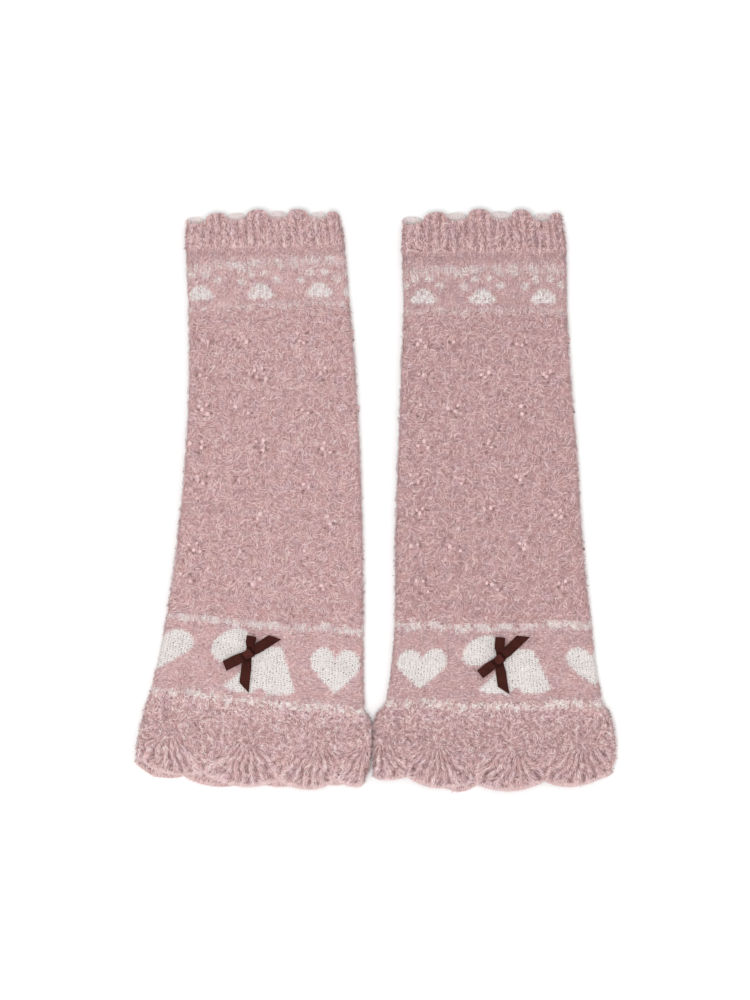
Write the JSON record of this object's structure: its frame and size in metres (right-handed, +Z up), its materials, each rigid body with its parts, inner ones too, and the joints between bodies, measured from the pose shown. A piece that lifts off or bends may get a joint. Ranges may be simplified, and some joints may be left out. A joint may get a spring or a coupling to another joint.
{
  "type": "pair of knitted leg warmers with ribbon bows",
  "caption": "Pair of knitted tubes for the lower legs, laid flat side by side, with scalloped cuffs, flared fan-stitch hems and a ribbon bow on each.",
  "frame": {"origin": "bottom centre of the pair as it lies flat: the middle of its footprint, on the surface it lies on", "axes": "+Z up from the surface, +Y from the hems toward the cuffs, +X to the right as seen from above with the cuffs away from the viewer"},
  "size_m": [0.3356, 0.4068, 0.0114],
  "materials": {
    "brushed_knit": "brushed heather knit with a short soft pile, matt",
    "colourwork_knit": "stranded two-colour knit in dusty pink and off-white, lightly brushed, matt",
    "satin_ribbon": "dark brown woven satin, soft sheen"
  },
  "bodies": {
    "root": {"left_cuff": "brushed_knit", "left_paw_band": "colourwork_knit", "left_leg": "brushed_knit", "left_heart_band": "colourwork_knit", "left_hem": "brushed_knit", "left_bow_knot": "satin_ribbon", "left_bow_loop_side": "satin_ribbon", "left_bow_loop_up": "satin_ribbon", "left_bow_tail_up": "satin_ribbon", "left_bow_tail_down": "satin_ribbon", "right_cuff": "brushed_knit", "right_paw_band": "colourwork_knit", "right_leg": "brushed_knit", "right_heart_band": "colourwork_knit", "right_hem": "brushed_knit", "right_bow_knot": "satin_ribbon", "right_bow_loop_side": "satin_ribbon", "right_bow_loop_up": "satin_ribbon", "right_bow_tail_up": "satin_ribbon", "right_bow_tail_down": "satin_ribbon"}
  },
  "joints": []
}
